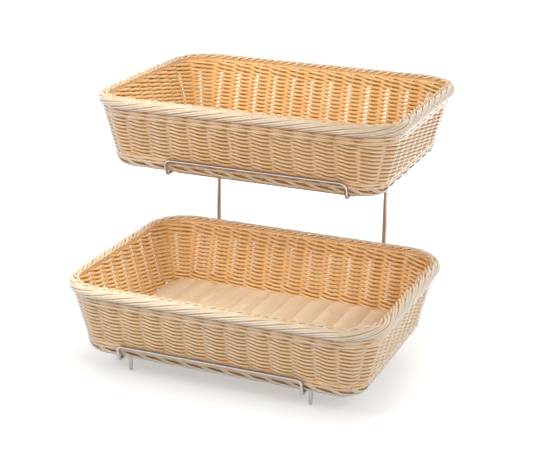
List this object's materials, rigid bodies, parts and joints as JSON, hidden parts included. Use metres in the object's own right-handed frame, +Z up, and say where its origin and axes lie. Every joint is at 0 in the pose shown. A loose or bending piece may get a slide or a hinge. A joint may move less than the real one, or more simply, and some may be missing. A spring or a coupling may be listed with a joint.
{
  "type": "bread basket stand",
  "caption": "Tiered chromed wire stand that holds loose rectangular woven baskets for bread, the upper one set back above the lower.",
  "frame": {"origin": "on the floor, under the middle of the object's box", "axes": "+Z up; +X along the baskets' length; +Y towards the back, where the upper tier stands back"},
  "size_m": [0.428, 0.432, 0.313],
  "materials": {
    "chrome_wire": "bright chromed steel wire",
    "woven_cane": "pale straw plastic cane, satin, slightly see-through"
  },
  "bodies": {
    "stand": {"left_upright": "chrome_wire", "right_upright": "chrome_wire", "left_front_foot": "chrome_wire", "right_front_foot": "chrome_wire", "lower_cradle_wire": "chrome_wire", "lower_front_cross_wire": "chrome_wire", "lower_rear_cross_wire": "chrome_wire", "upper_cradle_wire": "chrome_wire", "upper_front_cross_wire": "chrome_wire", "upper_middle_cross_wire": "chrome_wire", "upper_rear_cross_wire": "chrome_wire"},
    "lower_basket": {"lower_rim_border": "woven_cane", "lower_top_wale": "woven_cane", "lower_outer_weave": "woven_cane", "lower_bottom_wale": "woven_cane", "lower_inner_weave": "woven_cane", "lower_side_stakes": "woven_cane", "lower_foot_border": "woven_cane", "lower_base_upper_weave": "woven_cane", "lower_base_lower_weave": "woven_cane", "lower_base_stakes": "woven_cane"},
    "upper_basket": {"upper_rim_border": "woven_cane", "upper_top_wale": "woven_cane", "upper_outer_weave": "woven_cane", "upper_bottom_wale": "woven_cane", "upper_inner_weave": "woven_cane", "upper_side_stakes": "woven_cane", "upper_foot_border": "woven_cane", "upper_base_upper_weave": "woven_cane", "upper_base_lower_weave": "woven_cane", "upper_base_stakes": "woven_cane"}
  },
  "joints": [
    {"name": "lower_basket_lift", "type": "slide", "parent": "stand", "child": "lower_basket", "axis": [0, 0, 1], "range_m": [0, 0.085]},
    {"name": "upper_basket_lift", "type": "slide", "parent": "stand", "child": "upper_basket", "axis": [0, 0, 1], "range_m": [0, 0.12]}
  ]
}
